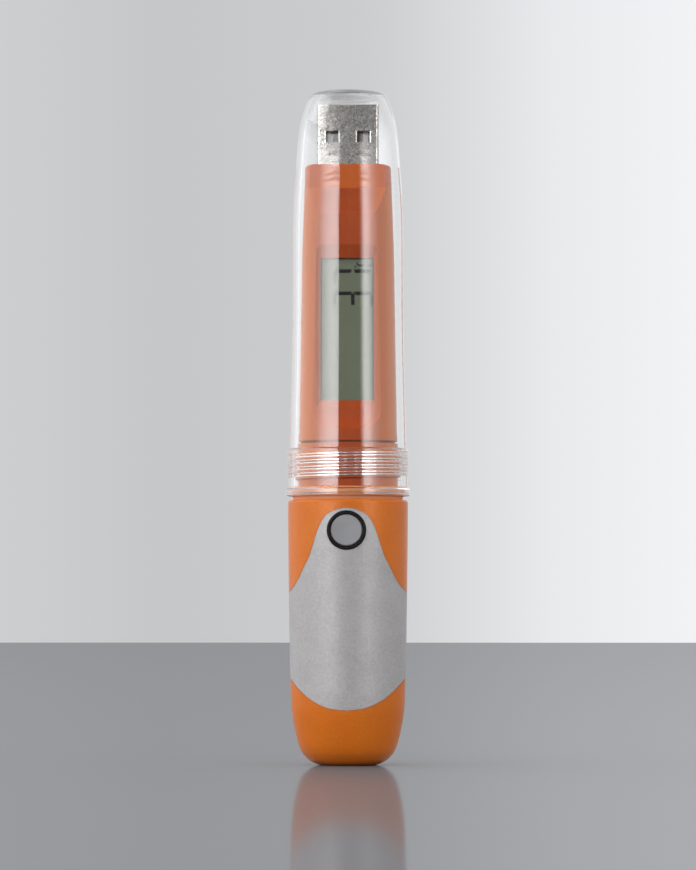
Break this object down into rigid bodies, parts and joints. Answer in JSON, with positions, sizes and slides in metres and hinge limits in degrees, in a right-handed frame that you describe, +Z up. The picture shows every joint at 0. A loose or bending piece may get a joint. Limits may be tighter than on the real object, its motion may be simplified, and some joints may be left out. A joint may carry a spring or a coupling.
{
  "type": "temperature data logger",
  "caption": "Pocket temperature logger: round orange barrel with cell and button, display tower with a USB plug, and a clear screw cap over the tower.",
  "frame": {"origin": "centre of the barrel's foot, on the surface that the logger stands on", "axes": "+Z up along the barrel and the plug, the display and the button face -Y, +X to the right seen from the front"},
  "size_m": [0.0242, 0.0242, 0.1327],
  "materials": {
    "barrel": "satin orange moulding with a fine pearl speckle",
    "tower": "plain orange moulding",
    "cap": "clear polished plastic",
    "seal": "soft orange silicone",
    "black_rubber": "matt",
    "label": "silver grey overlay with a fine mottle",
    "button": "smooth grey",
    "dark_plastic": "matt black moulding",
    "white_plastic": "moulded",
    "lcd_glass": "display glass with a polariser",
    "lcd_back": "grey green reflector film",
    "zebra": "striped conductive rubber",
    "board": "green solder mask",
    "nickel": "nickel plated sheet",
    "ceramic": "ceramic",
    "cell": "printed sleeve, left plain"
  },
  "bodies": {
    "housing": {"barrel": "barrel", "label": "label", "button_ring": "black_rubber", "tact_switch": "nickel", "tower": "tower", "spigot_o_ring": "black_rubber", "lcd_front_glass": "lcd_glass", "lcd_rear_glass": "lcd_glass", "lcd_reflector": "lcd_back", "lcd_frame": "white_plastic", "zebra_strips": "zebra", "circuit_board": "board", "board_screws": "nickel", "microcontroller": "dark_plastic", "memory_chip": "dark_plastic", "clock_crystal": "nickel", "capacitors": "ceramic", "temperature_sensor": "dark_plastic", "usb_shell": "nickel", "usb_tongue": "dark_plastic", "usb_contacts": "nickel", "battery_cell": "cell", "battery_carrier": "dark_plastic", "battery_spring": "nickel", "battery_plate": "nickel"},
    "button": {"button": "button", "switch_plunger": "dark_plastic"},
    "cap_seal": {"cap_seal": "seal"},
    "cap": {"cap": "cap"}
  },
  "joints": [
    {"name": "cap_lift", "type": "slide", "parent": "housing", "child": "cap_seal", "axis": [0, 0, 1], "range_m": [0, 0.0813]},
    {"name": "cap_turn", "type": "hinge", "parent": "cap_seal", "child": "cap", "pos_m": [0, 0, 0.0527], "axis": [0, 0, 1], "range_deg": [0, 23400]},
    {"name": "button_press", "type": "slide", "parent": "housing", "child": "button", "axis": [0, 1, 0], "range_m": [0, 0.00045], "stiffness_N_per_m": 400, "springref_m": -0.0002}
  ],
  "couplings": [
    {"joint": "cap_lift", "follows": "cap_turn", "m_per_rad": 0.00019894}
  ]
}
